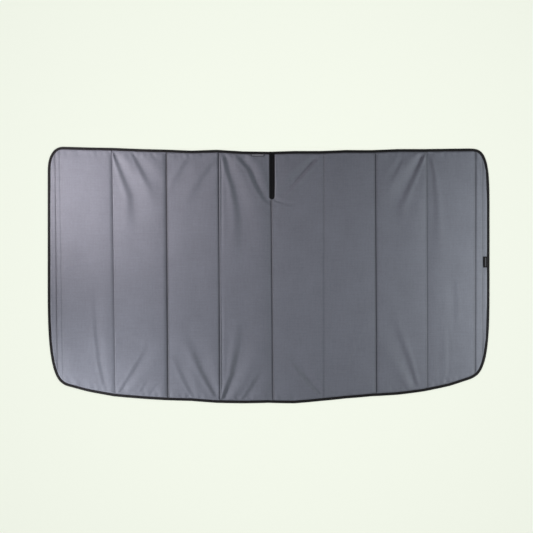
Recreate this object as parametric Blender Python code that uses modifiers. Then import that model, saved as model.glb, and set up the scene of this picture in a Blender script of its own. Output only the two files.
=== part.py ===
"""A quilted windscreen frost cover, lying flat and face up. Metres, X to the right, Y to the top edge, Z up."""

import math

import bmesh
import bpy
from mathutils import Vector
from mathutils.geometry import delaunay_2d_cdt, intersect_point_line

# The whole cover. The two long edges curve: the top one sags in the middle, the bottom one bows
# down in the middle, more on the right half than on the left.
WIDTH = 1.700
HEIGHT = 0.9904
TOP_SAG = 0.0167
BOTTOM_RISE_LEFT = 0.0767
BOTTOM_RISE_RIGHT = 0.1113

# The cloth is pulled nearly straight from fold to fold, so each long edge strays up or down from
# its smooth curve. The strays are at every fold and halfway between folds, from left to right.
STRAY_STEP = 0.0994
TOP_STRAYS = (
    0.0016, 0.0023, 0.0035, 0.0018, 0.0015, -0.0009, 0.0034, -0.0019, -0.0032,
    -0.0005, -0.0012, 0.0014, -0.0006, 0.0015, -0.0011, -0.0027, -0.0049,
)
FOOT_STRAYS = (
    0.0080, -0.0033, -0.0080, -0.0051, -0.0019, 0.0026, 0.0003, 0.0017, 0.0046,
    0.0011, 0.0054, 0.0080, 0.0057, -0.0023, -0.0063, -0.0051, 0.0049,
)

# Each corner: reach along X, reach along Y, and the power of its curve, 2 for an ellipse.
TOP_LEFT = (0.0641, 0.1106, 2.40)
TOP_RIGHT = (0.0958, 0.3000, 4.00)
BOTTOM_LEFT = (0.0858, 0.4200, 3.12)
BOTTOM_RIGHT = (0.0898, 0.4200, 3.57)
TOP_CORNER_STEPS = 10
BOTTOM_CORNER_STEPS = 15
EDGE_STEP = 0.050

# Eight panels between sewn fold lines. Each inner line strays a little from even spacing, by the
# shift at its foot and the shift at its head.
PANELS = 8
FOLD_SHIFTS = (
    (0.0070, -0.0065),
    (0.0095, 0.0025),
    (0.0113, 0.0056),
    (0.0167, 0.0078),
    (0.0142, 0.0142),
    (0.0185, 0.0135),
    (0.0160, 0.0129),
)

# Two rows of stitching run down each side, the outer one through to the lining, the inner one only
# into the padding: distance in from the edge at the foot and at the head.
LEFT_OUTER_SEAM = (0.0376, 0.0261)
LEFT_INNER_SEAM = (0.0607, 0.0453)
RIGHT_INNER_SEAM = (0.0569, 0.0550)
RIGHT_OUTER_SEAM = (0.0300, 0.0300)

# The slit for the mirror stem, a little right of the middle.
SLIT_X = 0.0127
SLIT_DEPTH = 0.173
SLIT_GAP = 0.0012
SLIT_END_STEPS = 8

# Layers.
CLOTH = 0.0005
PADDING = 0.0045
TAPE = 0.0008
TAPE_WIDTH = 0.0104
FIT = 0.0003

# How far in from the outer edge the cloth is cut, lies flat, touches the floor and reaches full
# height, and where the padding begins.
CLOTH_EDGE = 0.0022
FLAT_END = 0.0125
FLOOR_START = 0.0160
FULL_START = 0.0195
PADDING_EDGE = 0.0205

# Relief of the face cloth.
SHOULDER = 0.0060
SHOULDER_STEPS = (1 / 3, 1)
PADDING_TO_FOLD = 0.0068
CROWN = 0.0022
CROWN_REACH = 0.070
QUILT_REACH = 0.010
SEAM_STEP = 0.125
COLUMNS = 3
ROW_STEP = 0.070

# The soft wrinkles that run in from the long edges: start, bend and end of each, in halves of the
# cover's width and height, and its depth. Each widens and fades from its start to its end.
WRINKLE_START = 0.009
WRINKLE_END = 0.021
WRINKLES = (
    ((-0.691, 0.962), (-0.609, 0.665), (-0.581, 0.337), 0.0018),
    ((-0.618, 0.962), (-0.532, 0.766), (-0.495, 0.665), 0.0014),
    ((-0.269, 0.852), (-0.319, 0.680), (-0.373, 0.556), 0.0012),
    ((-0.360, 0.899), (-0.391, 0.774), (-0.419, 0.649), 0.0012),
    ((-0.201, 0.938), (-0.147, 0.649), (-0.120, 0.236), 0.0021),
    ((-0.120, 0.922), (-0.052, 0.712), (-0.007, 0.602), 0.0018),
    ((-0.192, -0.951), (-0.120, -0.615), (-0.102, -0.327), 0.0021),
    ((-0.079, -0.920), (-0.048, -0.803), (-0.025, -0.725), 0.0014),
    ((-0.247, -0.943), (-0.314, -0.662), (-0.351, -0.498), 0.0016),
    ((-0.663, -0.912), (-0.577, -0.693), (-0.532, -0.545), 0.0014),
    ((-0.753, -0.850), (-0.776, -0.467), (-0.799, -0.077), 0.0010),
    ((-0.916, 0.072), (-0.867, 0.079), (-0.812, 0.079), 0.0016),
    ((0.210, 0.915), (0.156, 0.759), (0.097, 0.610), 0.0012),
    ((0.690, 0.930), (0.600, 0.634), (0.559, 0.392), 0.0020),
    ((0.586, 0.915), (0.554, 0.813), (0.523, 0.720), 0.0012),
    ((0.731, 0.915), (0.758, 0.712), (0.776, 0.470), 0.0016),
    ((0.654, -0.865), (0.586, -0.545), (0.532, -0.264), 0.0020),
    ((0.210, -0.896), (0.161, -0.748), (0.120, -0.631), 0.0014),
    ((0.835, -0.069), (0.830, -0.288), (0.826, -0.522), 0.0010),
)

# The woven tag at the right edge and the tab under the top edge: length along the edge, how far
# each reaches in past the binding, and thickness.
TAG_LENGTH = 0.0420
TAG_REACH = 0.0130
TAG_MIDDLE = 0.0500
TAB_LENGTH = 0.0500
TAB_REACH = 0.0080
TAB_MIDDLE = -0.0420
LABEL = 0.0006


def material(name, colour, roughness):
    """A plain cloth or foam material."""
    made = bpy.data.materials.new(name)
    made.use_nodes = True
    shader = made.node_tree.nodes["Principled BSDF"]
    shader.inputs["Base Color"].default_value = (*colour, 1.0)
    shader.inputs["Roughness"].default_value = roughness
    return made


def empty_scene():
    """Removes what the scene holds and returns the cover's own collection."""
    for old in list(bpy.data.objects):
        bpy.data.objects.remove(old, do_unlink=True)
    collection = bpy.data.collections.new("frost_cover")
    bpy.context.scene.collection.children.link(collection)
    return collection


def placed(name, shape, collection, finish=None):
    """Makes an object of a mesh under construction."""
    mesh = bpy.data.meshes.new(name)
    shape.to_mesh(mesh)
    shape.free()
    piece = bpy.data.objects.new(name, mesh)
    collection.objects.link(piece)
    if finish:
        mesh.materials.append(finish)
    return piece


def thicken(piece, thickness, side):
    """Gives a surface its thickness, to the side its faces look for side 1, behind them for -1."""
    solid = piece.modifiers.new("thickness", "SOLIDIFY")
    solid.thickness = thickness
    solid.offset = side


def corner(size, side, end):
    """One corner of the plain rounded rectangle, from its side edge round to its long edge."""
    reach_x, reach_y, power = size
    steps = TOP_CORNER_STEPS if end > 0 else BOTTOM_CORNER_STEPS
    points = []
    for step in range(steps + 1):
        turn = math.pi / 2 * step / steps
        in_x = reach_x * (1 - max(math.cos(turn), 0) ** (2 / power))
        in_y = reach_y * (1 - math.sin(turn) ** (2 / power))
        points.append((side * (WIDTH / 2 - in_x), end * (HEIGHT / 2 - in_y)))
    return points


def between(start, end):
    """Evenly spaced points from start to end, without the two ends."""
    gap = math.dist(start, end)
    count = max(1, math.ceil(gap / EDGE_STEP))
    return [
        (start[0] + (end[0] - start[0]) * i / count, start[1] + (end[1] - start[1]) * i / count)
        for i in range(1, count)
    ]


def stray(strays, x):
    """How far up a long edge strays from its smooth curve there."""
    last = len(strays) - 1
    place = min(max(x / STRAY_STEP + last / 2, 0), last)
    before = min(int(place), last - 1)
    return strays[before] + (strays[before + 1] - strays[before]) * (place - before)


def curved(x, y):
    """A point of the plain rounded rectangle, moved so that the long edges sag, bow and stray."""
    across = 2 * x / WIDTH
    up = y / HEIGHT + 0.5
    rise = BOTTOM_RISE_LEFT if x < 0 else BOTTOM_RISE_RIGHT
    top = stray(TOP_STRAYS, x) - TOP_SAG * (1 - across**2)
    foot = stray(FOOT_STRAYS, x) + rise * across**2
    return Vector((x, y + up * top + (1 - up) * foot))


def edge_path():
    """The outer edge, clockwise from the right side of the slit to its left side."""
    top = HEIGHT / 2
    runs = (
        [(SLIT_X + SLIT_GAP / 2, top)],
        corner(TOP_RIGHT, 1, 1)[::-1],
        corner(BOTTOM_RIGHT, 1, -1),
        corner(BOTTOM_LEFT, -1, -1)[::-1],
        corner(TOP_LEFT, -1, 1),
        [(SLIT_X - SLIT_GAP / 2, top)],
    )
    plain = list(runs[0])
    for run in runs[1:]:
        plain += between(plain[-1], run[0]) + list(run)
    path = [curved(x, y) for x, y in plain]
    highest = max(point.y for point in path)
    lowest = min(point.y for point in path)
    middle = Vector((0, (highest + lowest) / 2))
    return [point - middle for point in path]


def slit_path(mouth, start):
    """The slit, down its left side, round its end and up its right side, from start below the mouth."""
    radius = SLIT_GAP / 2
    low = mouth - SLIT_DEPTH + radius
    path = [Vector((SLIT_X - radius, mouth - start))]
    for step in range(SLIT_END_STEPS + 1):
        turn = math.pi * (1 + step / SLIT_END_STEPS)
        path.append(Vector((SLIT_X + radius * math.cos(turn), low + radius * math.sin(turn))))
    path.append(Vector((SLIT_X + radius, mouth - start)))
    return path


def offset(path, distance, closed):
    """The path moved into the cloth, on its right hand, with mitred corners."""
    moved = []
    for i, point in enumerate(path):
        sides = []
        if i > 0 or closed:
            sides.append(point - path[i - 1])
        if i < len(path) - 1 or closed:
            sides.append(path[(i + 1) % len(path)] - point)
        normals = [Vector((side.y, -side.x)).normalized() for side in sides]
        total = normals[0] + normals[-1]
        moved.append(point + total * (2 * distance / total.length_squared))
    return moved


def seam_x(seam, y):
    """Where a fold line or seam is across the cover, y up from the middle."""
    foot, head = seam
    return foot + (head - foot) * (y / HEIGHT + 0.5)


def from_side(side, inset):
    """A seam given by its distances in from a side edge."""
    return tuple(side * (WIDTH / 2 - distance) for distance in inset)


def quilt_lines():
    """The inner row of stitching at each side."""
    return [from_side(-1, LEFT_INNER_SEAM), from_side(1, RIGHT_INNER_SEAM)]


def fold_lines():
    """The nine lines that are sewn through and bound the panels, left to right."""
    first, last = quilt_lines()
    start = sum(first) / 2
    pitch = (sum(last) / 2 - start) / PANELS
    lines = [from_side(-1, LEFT_OUTER_SEAM)]
    for count, (foot, head) in enumerate(FOLD_SHIFTS, 1):
        lines.append((start + pitch * count + foot, start + pitch * count + head))
    return lines + [from_side(1, RIGHT_OUTER_SEAM)]


def distance_to(point, start, end):
    """Distance from a point to a line's stretch between start and end."""
    nearest, share = intersect_point_line(point, start, end)
    if share <= 0:
        return (point - start).length
    if share >= 1:
        return (point - end).length
    return (point - nearest.to_2d()).length


def edge_distance(point, loop):
    """Distance in from the edge, the slit's edges among them."""
    return min(distance_to(point, loop[i - 1], loop[i]) for i in range(len(loop)))


def share_of(value, start, end):
    """How far value has come from start to end, 0 to 1."""
    return min(max((value - start) / (end - start), 0), 1)


def lining_height(edge):
    """Underside of the lining: on the binding at the edge, on the floor further in."""
    return (TAPE + FIT) * (1 - share_of(edge, FLAT_END, FLOOR_START))


def wrinkle_path(wrinkle):
    """The bottom of a wrinkle as three points."""
    return [Vector((x * WIDTH / 2, y * HEIGHT / 2)) for x, y in wrinkle[:3]]


def wrinkle_width(share):
    """Half a wrinkle's width at a share of the way along it."""
    return WRINKLE_START + (WRINKLE_END - WRINKLE_START) * share


def wrinkle_depth(point):
    """How far the wrinkles lower the crown of a panel."""
    deepest = 0
    for wrinkle in WRINKLES:
        start, bend, end = wrinkle_path(wrinkle)
        for half, (first, last) in enumerate(((start, bend), (bend, end))):
            share = share_of(intersect_point_line(point, first, last)[1], 0, 1)
            along = (half + share) / 2
            away = distance_to(point, first, last)
            fall = 1 - share_of(away, 0, wrinkle_width(along))
            deepest = max(deepest, wrinkle[3] * fall * (1 - along))
    return deepest


def rounded(share):
    """Rise of the cloth from a seam to its shoulder, steep at the seam and level at the shoulder."""
    return math.sqrt(1 - (1 - share) ** 2)


def nearest_line(point, seams):
    """Distance across the cover to the nearest of some seams."""
    return min(abs(point.x - seam_x(seam, point.y)) for seam in seams)


def face_height(point, loop):
    """Underside of the face cloth: sewn down at the edge and the folds, raised by the padding between."""
    folds = fold_lines()
    edge = edge_distance(point, loop)
    base = lining_height(edge) + CLOTH + FIT
    if not seam_x(folds[0], point.y) < point.x < seam_x(folds[-1], point.y):
        return base
    fold = nearest_line(point, folds)
    rise = min(share_of(edge, FLAT_END, FULL_START), rounded(share_of(fold, 0, SHOULDER)))
    fill = min(share_of(edge, FULL_START, CROWN_REACH), share_of(fold, SHOULDER, CROWN_REACH))
    quilted = share_of(nearest_line(point, quilt_lines()), 0, QUILT_REACH)
    crown = CROWN * fill * (2 - fill) * quilted
    return base + (PADDING + FIT) * rise + max(crown - wrinkle_depth(point), 0)


def triangulated(loops, lines, loose):
    """A flat mesh inside the first loop, with an edge along every other loop and line."""
    points = []
    edges = []
    for loop in loops:
        first = len(points)
        points += loop
        edges += [(first + i, first + (i + 1) % len(loop)) for i in range(len(loop))]
    for line in lines:
        first = len(points)
        points += line
        edges += [(first + i, first + i + 1) for i in range(len(line) - 1)]
    points += loose
    border = list(range(len(loops[0])))
    found = delaunay_2d_cdt(points, edges, [border], 1, 0.00005)
    shape = bmesh.new()
    corners = [shape.verts.new((point.x, point.y, 0)) for point in found[0]]
    for face in found[2]:
        shape.faces.new([corners[i] for i in face])
    for stray in [corner for corner in shape.verts if not corner.link_faces]:
        shape.verts.remove(stray)
    shape.normal_update()
    downward = [face for face in shape.faces if face.normal.z < 0]
    bmesh.ops.reverse_faces(shape, faces=downward)
    return shape


def straight(seam, shift):
    """Points up a seam's line, moved sideways by shift, from below the cover to above it."""
    count = math.ceil(HEIGHT / SEAM_STEP)
    heights = [HEIGHT * (1.02 * i / count - 0.51) for i in range(count + 1)]
    return [Vector((seam_x(seam, y) + shift, y)) for y in heights]


def wrinkle_lines():
    """The bottom of each wrinkle and its two sides."""
    lines = []
    for wrinkle in WRINKLES:
        path = wrinkle_path(wrinkle)
        for side in (-1, 0, 1):
            line = []
            for step, point in enumerate(path):
                along = path[min(step + 1, 2)] - path[max(step - 1, 0)]
                sideways = Vector((along.y, -along.x)).normalized()
                line.append(point + sideways * side * wrinkle_width(step / 2))
            lines.append(line)
    return lines


def panel_points(loop):
    """Loose points over the panels that carry their crown."""
    folds = fold_lines()
    rows = math.floor(HEIGHT / ROW_STEP)
    points = []
    for left, right in zip(folds, folds[1:]):
        for column in range(1, COLUMNS + 1):
            share = column / (COLUMNS + 1)
            for row in range(rows + 1):
                y = HEIGHT * (row / rows - 0.5)
                x = seam_x(left, y) * (1 - share) + seam_x(right, y) * share
                point = Vector((x, y))
                if edge_distance(point, loop) > 2 * FULL_START:
                    points.append(point)
    return [point for point in points if wrinkle_depth(point) == 0]


def inside(point, loop):
    """Whether a point is inside a closed loop."""
    odd = False
    for i, end in enumerate(loop):
        start = loop[i - 1]
        if (start.y > point.y) != (end.y > point.y):
            odd ^= point.x < start.x + (end.x - start.x) * (point.y - start.y) / (end.y - start.y)
    return odd


def face_cloth(loop, collection, finish):
    """The front cloth, one sheet with the slit cut in it, sewn down at every fold line."""
    loops = [offset(loop, distance, True) for distance in (CLOTH_EDGE, FLAT_END, FULL_START)]
    shifts = [0] + [side * step * SHOULDER for side in (-1, 1) for step in SHOULDER_STEPS]
    lines = [straight(seam, shift) for seam in fold_lines() for shift in shifts]
    lines += [straight(seam, side * QUILT_REACH) for seam in quilt_lines() for side in (-1, 0, 1)]
    loose = [point for point in panel_points(loop) if inside(point, loops[-1])]
    shape = triangulated(loops, lines + wrinkle_lines(), loose)
    for vertex in shape.verts:
        vertex.co.z = face_height(vertex.co.to_2d(), loop)
    piece = placed("face_cloth", shape, collection, finish)
    thicken(piece, CLOTH, 1)


def lining_cloth(loop, collection, finish):
    """The back cloth, the same outline as the face, flat on the floor inside the binding."""
    loops = [offset(loop, distance, True) for distance in (CLOTH_EDGE, FLAT_END, FLOOR_START)]
    shape = triangulated(loops, [], [])
    for vertex in shape.verts:
        vertex.co.z = lining_height(edge_distance(vertex.co.to_2d(), loop))
    piece = placed("lining_cloth", shape, collection, finish)
    thicken(piece, CLOTH, 1)


def prism(name, outline, low, high, collection):
    """A flat plate with the given outline, from low to high."""
    curve = bpy.data.curves.new(name, "CURVE")
    curve.dimensions = "2D"
    curve.fill_mode = "BOTH"
    curve.extrude = (high - low) / 2
    spline = curve.splines.new("POLY")
    spline.points.add(len(outline) - 1)
    for point, place in zip(spline.points, outline):
        point.co = (place.x, place.y, 0, 1)
    spline.use_cyclic_u = True
    drawn = bpy.data.objects.new(name, curve)
    bpy.context.scene.collection.objects.link(drawn)
    graph = bpy.context.evaluated_depsgraph_get()
    mesh = bpy.data.meshes.new_from_object(drawn.evaluated_get(graph))
    bpy.data.objects.remove(drawn, do_unlink=True)
    shape = bmesh.new()
    shape.from_mesh(mesh)
    bmesh.ops.remove_doubles(shape, verts=shape.verts, dist=0.00001)
    bmesh.ops.translate(shape, verts=shape.verts, vec=(0, 0, (high + low) / 2))
    bmesh.ops.recalc_face_normals(shape, faces=shape.faces)
    return placed(name, shape, collection)


def padding_boards(loop, collection, cutters, finish):
    """The thin padding, one board between each two fold lines, cut to the outline and round the slit."""
    folds = fold_lines()
    low = CLOTH + FIT
    outline = offset(loop, PADDING_EDGE, True)
    top = HEIGHT / 2 + PADDING_EDGE
    for count, (left, right) in enumerate(zip(folds, folds[1:]), 1):
        sides = [(left, -top), (left, top), (right, top), (right, -top)]
        shifts = [PADDING_TO_FOLD, PADDING_TO_FOLD, -PADDING_TO_FOLD, -PADDING_TO_FOLD]
        panel = [Vector((seam_x(seam, y) + shift, y)) for (seam, y), shift in zip(sides, shifts)]
        board = prism(f"core_panel_{count}", outline, low, low + PADDING, collection)
        board.data.materials.append(finish)
        stencil = prism(f"panel_{count}_stencil", panel, low - PADDING, low + 2 * PADDING, cutters)
        cut = board.modifiers.new("panel", "BOOLEAN")
        cut.operation = "INTERSECT"
        cut.solver = "EXACT"
        cut.object = stencil


def tape_section():
    """Outer side of the folded tape as (distance in, height), from its upper edge round to its lower edge."""
    height = 2 * (TAPE + CLOTH) + 3 * FIT
    radius = height / 2
    section = [(TAPE_WIDTH, height)]
    for step in range(5):
        turn = math.pi * (0.5 + step / 4)
        section.append((radius * (1 + math.cos(turn)), radius * (1 + math.sin(turn))))
    return section + [(TAPE_WIDTH, 0)]


def folded_tape(name, path, collection, finish):
    """Tape folded over the edge that the path follows."""
    section = tape_section()
    rows = [offset(path, inward, False) for inward, _ in section]
    shape = bmesh.new()
    last_station = len(path) - 1
    last_row = len(section) - 1
    bmesh.ops.create_grid(shape, x_segments=last_station, y_segments=last_row, size=1)
    for vertex in shape.verts:
        station = round((vertex.co.x + 1) / 2 * last_station)
        row = round((vertex.co.y + 1) / 2 * last_row)
        place = rows[row][station]
        vertex.co = (place.x, place.y, section[row][1])
    piece = placed(name, shape, collection, finish)
    thicken(piece, TAPE, -1)


def label(name, base, along, inward, length, reach, heights, collection, finish):
    """A flat woven label on the face cloth, its outer edge against the binding. heights are its underside there and at its far edge."""
    shape = bmesh.new()
    bmesh.ops.create_grid(shape, x_segments=1, y_segments=1, size=1)
    for vertex in shape.verts:
        far = vertex.co.y > 0
        place = base + along * (vertex.co.x * length / 2) + inward * (reach if far else 0)
        vertex.co = (place.x, place.y, heights[1] if far else heights[0])
    bmesh.ops.recalc_face_normals(shape, faces=shape.faces)
    for face in shape.faces:
        if face.normal.z < 0:
            face.normal_flip()
    piece = placed(name, shape, collection, finish)
    thicken(piece, LABEL, 1)


def top_edge(loop, x):
    """How far up the top edge of the cover is there."""
    spans = [(a, b) for a, b in zip(loop, loop[1:]) if min(a.x, b.x) <= x <= max(a.x, b.x)]
    return max(a.y + (b.y - a.y) * (x - a.x) / (b.x - a.x) for a, b in spans if a.x != b.x)


def labels(loop, collection, tag_finish, tab_finish):
    """The woven tag inside the right edge and the cloth tab under the top edge."""
    near = TAPE_WIDTH + FIT
    surface = CLOTH + FIT
    tag_base = Vector((WIDTH / 2 - near, TAG_MIDDLE))
    flat = face_height(tag_base, loop) + surface
    label(
        "side_tag",
        tag_base,
        Vector((0, 1)),
        Vector((-1, 0)),
        TAG_LENGTH,
        TAG_REACH,
        (flat, flat),
        collection,
        tag_finish,
    )
    edge = min(top_edge(loop, TAB_MIDDLE + side * TAB_LENGTH / 2) for side in (-1, 1))
    start = Vector((TAB_MIDDLE, edge - near))
    end = Vector((TAB_MIDDLE, edge - near - TAB_REACH))
    heights = [face_height(place, loop) + surface + FIT for place in (start, end)]
    label(
        "top_tab",
        start,
        Vector((1, 0)),
        Vector((0, -1)),
        TAB_LENGTH,
        TAB_REACH,
        heights,
        collection,
        tab_finish,
    )


def build():
    """Builds every piece of the cover."""
    collection = empty_scene()
    cutters = bpy.data.collections.new("stencils")
    bpy.context.scene.collection.children.link(cutters)
    cutters.hide_render = True
    face = material("face_fabric", (0.155, 0.157, 0.190), 0.55)
    lining = material("lining_fabric", (0.070, 0.072, 0.078), 0.80)
    padding = material("padding_foam", (0.72, 0.72, 0.70), 0.90)
    binding = material("binding_tape", (0.022, 0.020, 0.022), 0.70)
    tag = material("tag_weave", (0.020, 0.020, 0.022), 0.65)
    tab = material("tab_fabric", (0.155, 0.157, 0.190), 0.60)

    edge = edge_path()
    mouth = edge[0].y
    loop = edge + slit_path(mouth, 0)[1:-1]

    face_cloth(loop, collection, face)
    lining_cloth(loop, collection, lining)
    padding_boards(loop, collection, cutters, padding)
    folded_tape("edge_binding", edge, collection, binding)
    folded_tape("slit_binding", slit_path(mouth, TAPE_WIDTH + FIT), collection, binding)
    labels(loop, collection, tag, tab)
    for stencil in cutters.objects:
        stencil.display_type = "WIRE"


build()
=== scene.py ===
# %% [markdown]
# # A quilted frost cover for a wide windscreen
# The cover lies face up on a pale floor. It is two cloths with thin foam between them, sewn through
# at its fold lines and bound with dark tape. The frame's solids give its size and place, and each
# step below lays a soft piece over them, with the folds, wrinkles and weave that cloth has.

import math

import bmesh
import bpy
import numpy as np
from mathutils.kdtree import KDTree
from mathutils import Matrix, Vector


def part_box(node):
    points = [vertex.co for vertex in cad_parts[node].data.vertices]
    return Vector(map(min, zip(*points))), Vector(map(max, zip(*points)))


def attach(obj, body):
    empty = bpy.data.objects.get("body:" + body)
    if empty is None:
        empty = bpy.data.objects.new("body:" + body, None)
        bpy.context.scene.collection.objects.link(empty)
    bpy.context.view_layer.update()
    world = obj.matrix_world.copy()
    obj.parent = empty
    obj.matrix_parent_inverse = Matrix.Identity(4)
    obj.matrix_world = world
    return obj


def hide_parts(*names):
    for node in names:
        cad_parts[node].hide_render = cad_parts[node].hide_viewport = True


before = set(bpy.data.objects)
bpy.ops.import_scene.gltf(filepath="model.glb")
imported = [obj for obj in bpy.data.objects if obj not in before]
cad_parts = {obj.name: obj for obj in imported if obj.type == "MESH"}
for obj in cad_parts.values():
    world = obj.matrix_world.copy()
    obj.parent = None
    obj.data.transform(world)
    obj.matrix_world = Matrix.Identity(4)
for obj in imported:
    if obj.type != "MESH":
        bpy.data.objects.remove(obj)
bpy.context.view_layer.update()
print("solids:", sorted(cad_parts))

# %% [markdown]
# ## The outline
# The real cover is cut from a paper pattern: nearly a rectangle, with a top edge that sags, a bottom
# edge that bows and four different corners. It could be drawn point by point. A rounded rectangle
# whose long edges are bent by one formula is smoother, and it is the same formula the solids use.

# %% Measures of the pattern, in metres
WIDTH = 1.700
HEIGHT = 0.9904
TOP_SAG = 0.0167
RISE_LEFT = 0.0767
RISE_RIGHT = 0.1113
# Each corner's reach across and up, and the power of its curve
TOP_LEFT = (0.0641, 0.1106, 2.40)
TOP_RIGHT = (0.0958, 0.3000, 4.00)
BOTTOM_LEFT = (0.0858, 0.4200, 3.12)
BOTTOM_RIGHT = (0.0898, 0.4200, 3.57)
# How far the sewn edges stray from their curves, in millimetres, at even steps across
STRAY_STEP = 0.0994
TOP_STRAYS = (1.6, 2.3, 3.5, 1.8, 1.5, -0.9, 3.4, -1.9, -3.2)
TOP_STRAYS += (-0.5, -1.2, 1.4, -0.6, 1.5, -1.1, -2.7, -4.9)
FOOT_STRAYS = (8.0, -3.3, -8.0, -5.1, -1.9, 2.6, 0.3, 1.7, 4.6)
FOOT_STRAYS += (1.1, 5.4, 8.0, 5.7, -2.3, -6.3, -5.1, 4.9)
SLIT_X = 0.0127
SLIT_DEPTH = 0.173
SLIT_GAP = 0.00006
print(f"pattern {WIDTH} by {HEIGHT} m, slit {SLIT_DEPTH} m deep")


# %% Helpers for paths and corners
def run_along(path):
    """Distance along a path to each of its points."""
    return np.concatenate([[0], np.cumsum(np.linalg.norm(np.diff(path, axis=0), axis=1))])


def evenly(path, step):
    """The same path with its points step apart."""
    run = run_along(path)
    at = np.linspace(0, run[-1], max(2, round(run[-1] / step) + 1))
    return np.stack([np.interp(at, run, path[:, 0]), np.interp(at, run, path[:, 1])], 1)


def plain_corner(size, side, end):
    """One corner of the plain rectangle, from its side edge to its long edge."""
    reach_x, reach_y, power = size
    turn = np.linspace(0, math.pi / 2, 160)
    x = side * (WIDTH / 2 - reach_x * (1 - np.cos(turn).clip(0) ** (2 / power)))
    y = end * (HEIGHT / 2 - reach_y * (1 - np.sin(turn) ** (2 / power)))
    return np.stack([x, y], 1)


# %% The outer edge
def bent(path):
    """The plain rectangle's edge with the sag, the bow and the strays of the real one."""
    x, y = path.T
    across, up = 2 * x / WIDTH, y / HEIGHT + 0.5
    knots = STRAY_STEP * (np.arange(len(TOP_STRAYS)) - (len(TOP_STRAYS) - 1) / 2)
    top = np.interp(x, knots, TOP_STRAYS) / 1000 - TOP_SAG * (1 - across**2)
    rise = np.where(x < 0, RISE_LEFT, RISE_RIGHT)
    foot = np.interp(x, knots, FOOT_STRAYS) / 1000 + rise * across**2
    y = y + up * top + (1 - up) * foot
    y -= (y.max() + y.min()) / 2
    return np.stack([x, y], 1)


def edge_line(step):
    """The outer edge, clockwise from the right side of the slit to its left side."""
    half_x, half_y, mouth = WIDTH / 2, HEIGHT / 2, SLIT_GAP / 2
    top_right = np.array([[SLIT_X + mouth, half_y], [half_x - TOP_RIGHT[0], half_y]])
    bottom = np.array([[half_x - BOTTOM_RIGHT[0], -half_y], [BOTTOM_LEFT[0] - half_x, -half_y]])
    top_left = np.array([[TOP_LEFT[0] - half_x, half_y], [SLIT_X - mouth, half_y]])
    plain_edge = [
        evenly(top_right, step),
        plain_corner(TOP_RIGHT, 1, 1)[::-1],
        plain_corner(BOTTOM_RIGHT, 1, -1),
        evenly(bottom, step),
        plain_corner(BOTTOM_LEFT, -1, -1)[::-1],
        plain_corner(TOP_LEFT, -1, 1),
        evenly(top_left, step),
    ]
    return evenly(bent(np.concatenate(plain_edge)), step)


edge = edge_line(0.003)
mouth_y = edge[0, 1]
print(f"outline: {len(edge)} points, slit mouth at y = {mouth_y:.4f} m")


# %% The mirror slit
def slit_line(start):
    """The slit from start below its mouth, down its left side and up its right side."""
    radius = SLIT_GAP / 2
    turn = np.linspace(math.pi, 2 * math.pi, 25)
    low = mouth_y - SLIT_DEPTH + radius
    end = np.stack([SLIT_X + radius * np.cos(turn), low + radius * np.sin(turn)], 1)
    heights = np.arange(mouth_y - start, low, -0.0015)
    left = np.stack([np.full_like(heights, SLIT_X - radius), heights], 1)
    right = np.stack([np.full_like(heights, SLIT_X + radius), heights], 1)[::-1]
    return np.concatenate([left, end, right])


print(f"slit edge: {run_along(slit_line(0))[-1]:.3f} m round")

# %% [markdown]
# ## The seams
# Nine fold lines are sewn through the whole quilt, and at each side a second row of stitching is
# only sewn into the foam. The real seams don't pull equally hard. One groove could be copied along
# the cover, but it would look stamped, so each has its own slant, depths, flanks and painted shade.

# %% Seams: x at foot and head, depths from foot to head, flanks in millimetres, and painted shade
PITCH_START = -0.797
PITCH = 0.19888


def fold(count, foot, head, depths, flanks, painted_shade):
    """One sewn fold line, a little off even spacing."""
    x = PITCH_START + PITCH * count
    return (x + foot, x + head, depths, flanks, painted_shade)


FOLDS = (
    (-0.8108, -0.8223, (0.75, 0.85, 0.80), (5, 4), 0.30),
    fold(1, 0.0097, -0.0038, (0.60, 0.50, 0.75, 0.95, 0.90), (15, 3), 0.20),
    fold(2, 0.0130, 0.0060, (0.95, 1.00, 0.95), (19, 3), 0.72),
    fold(3, 0.0143, 0.0086, (0.80, 0.75, 0.90), (10, 3), 0.35),
    fold(4, 0.0190, 0.0101, (0.92, 1.00, 0.92), (42, 4), 0.52),
    fold(5, 0.0142, 0.0142, (0.03, 0.03, 0.04, 0.30, 0.45), (4, 5), 0.14),
    fold(6, 0.0175, 0.0125, (0.90, 0.85, 0.75), (3, 14), 0.42),
    fold(7, 0.0150, 0.0119, (0.50, 0.65, 0.80), (3, 40), 0.34),
    (0.8215, 0.8215, (0.45, 0.60, 0.50), (4, 7), 0.35),
)
QUILTING = (
    (-0.7893, -0.8047, (0.10, 0.10, 0.10), (4, 4), 0.10),
    (0.7931, 0.7950, (0.40, 0.35, 0.50), (3, 8), 0.42),
)
PAINTED_SHADE_REACH = 0.0042
print(f"{len(FOLDS)} folds sewn through and {len(QUILTING)} rows in the foam")


# %% Read a seam at a height on the cover
def seam_x(seam, y):
    """Where a seam is across the cover, y up from the middle."""
    return seam[0] + (seam[1] - seam[0]) * (y / HEIGHT + 0.5)


def seam_depth(seam, y):
    """How hard a seam pulls there, 0 to 1."""
    return np.interp(y, np.linspace(-HEIGHT / 2, HEIGHT / 2, len(seam[2])), seam[2])


def painted_seam_shade(x, y):
    """Painted shade on the cloth at its seams, for the shade where their flanks close over it."""
    painted_shade = np.zeros_like(x)
    for seam in FOLDS + QUILTING:
        near = np.exp(-(((x - seam_x(seam, y)) / PAINTED_SHADE_REACH) ** 2))
        painted_shade = np.maximum(painted_shade, seam[4] * near)
    return painted_shade


# %% [markdown]
# ## The wrinkles
# Between the folds and the binding the cloth has gathered, mostly beside the heads and feet of the
# seams. A cloth simulation would place wrinkles of its own. These have to lie where they are on this
# cover, so each is a path with a depth and a width that fades out along its run.

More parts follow.
